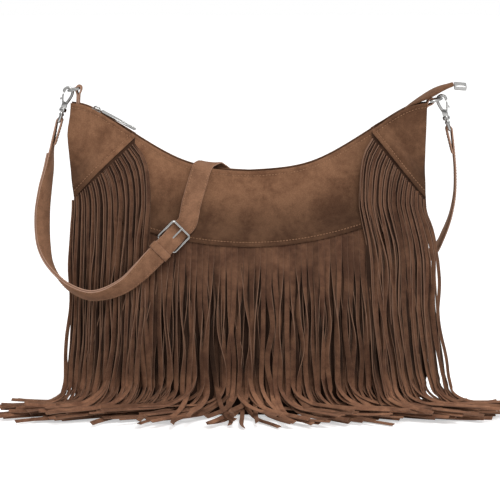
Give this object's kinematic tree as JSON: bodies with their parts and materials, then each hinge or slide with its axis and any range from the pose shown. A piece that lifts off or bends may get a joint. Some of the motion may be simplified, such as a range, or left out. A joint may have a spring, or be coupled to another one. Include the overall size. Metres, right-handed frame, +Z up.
{
  "type": "fringed suede shoulder bag",
  "caption": "Slouchy suede shoulder bag with long cut fringe, curved yokes, a top zip, and an adjustable strap on snap hooks with a pronged buckle.",
  "frame": {"origin": "centre of the base, on the floor that the bag stands on", "axes": "+X along the bag's width to the right in the front view, the front faces -Y, +Z up"},
  "size_m": [0.5166, 0.183, 0.3427],
  "materials": {
    "suede": "brown napped suede",
    "strap": "smoother brown suede strap",
    "lining": "dark woven lining",
    "zip_cloth": "dark woven tape",
    "zip_metal": "dull metal teeth",
    "nickel": "polished nickel"
  },
  "bodies": {
    "root": {"front_panel": "suede", "back_panel": "suede", "front_yoke": "suede", "back_yoke": "suede", "left_front_ear": "suede", "right_front_ear": "suede", "left_back_ear": "suede", "right_back_ear": "suede", "left_gusset": "suede", "right_gusset": "suede", "base_panel": "suede", "lining": "lining", "zip_tape_front": "zip_cloth", "zip_tape_back": "zip_cloth", "zip_teeth": "zip_metal", "zip_end_tab": "suede", "zip_end_clip": "nickel", "left_tab": "suede", "right_tab": "suede", "left_swivel_eye": "nickel", "right_swivel_eye": "nickel", "strap_short": "strap", "strap_long": "strap", "strap_keeper": "strap", "buckle_frame": "nickel", "fringe_front": "suede", "fringe_left": "suede", "fringe_right": "suede"},
    "slider": {"zip_slider": "nickel"},
    "pull": {"zip_pull": "nickel"},
    "left_ring": {"left_d_ring": "nickel"},
    "right_ring": {"right_d_ring": "nickel"},
    "left_claw": {"left_hook": "nickel"},
    "right_claw": {"right_hook": "nickel"},
    "left_gate": {"left_trigger": "nickel"},
    "right_gate": {"right_trigger": "nickel"},
    "prong": {"buckle_prong": "nickel"}
  },
  "joints": [
    {"name": "zip_slide", "type": "slide", "parent": "root", "child": "slider", "axis": [0.88, 0, -0.4749], "range_m": [0, 0.05], "deforming": ["zip_teeth"]},
    {"name": "pull_swing", "type": "hinge", "parent": "slider", "child": "pull", "pos_m": [-0.15824, 0, 0.31422], "axis": [0, -1, 0], "range_deg": [0, 140]},
    {"name": "left_ring_swing", "type": "hinge", "parent": "root", "child": "left_ring", "pos_m": [-0.177, 0, 0.33546], "axis": [0, -1, 0], "range_deg": [0, 5]},
    {"name": "right_ring_swing", "type": "hinge", "parent": "root", "child": "right_ring", "pos_m": [0.1895, 0, 0.32246], "axis": [0, 1, 0], "range_deg": [0, 5]},
    {"name": "left_swivel", "type": "hinge", "parent": "root", "child": "left_claw", "pos_m": [-0.18802, 0, 0.33168], "axis": [0.2955, 0, 0.9553], "range_deg": [-25, 25]},
    {"name": "right_swivel", "type": "hinge", "parent": "root", "child": "right_claw", "pos_m": [0.20058, 0, 0.3235], "axis": [-0.2474, 0, 0.9689], "range_deg": [-25, 25]},
    {"name": "left_trigger_press", "type": "hinge", "parent": "left_claw", "child": "left_gate", "pos_m": [-0.19406, 0, 0.31994], "axis": [0, 1, 0], "range_deg": [0, 20], "stiffness_Nm_per_rad": 0.05, "springref_deg": -11.46},
    {"name": "right_trigger_press", "type": "hinge", "parent": "right_claw", "child": "right_gate", "pos_m": [0.20602, 0, 0.31147], "axis": [0, -1, 0], "range_deg": [0, 20], "stiffness_Nm_per_rad": 0.05, "springref_deg": -11.46},
    {"name": "prong_lift", "type": "hinge", "parent": "root", "child": "prong", "pos_m": [-0.08562, -0.04704, 0.17728], "axis": [0.7077, -0.004, -0.7066], "range_deg": [0, 6]}
  ]
}
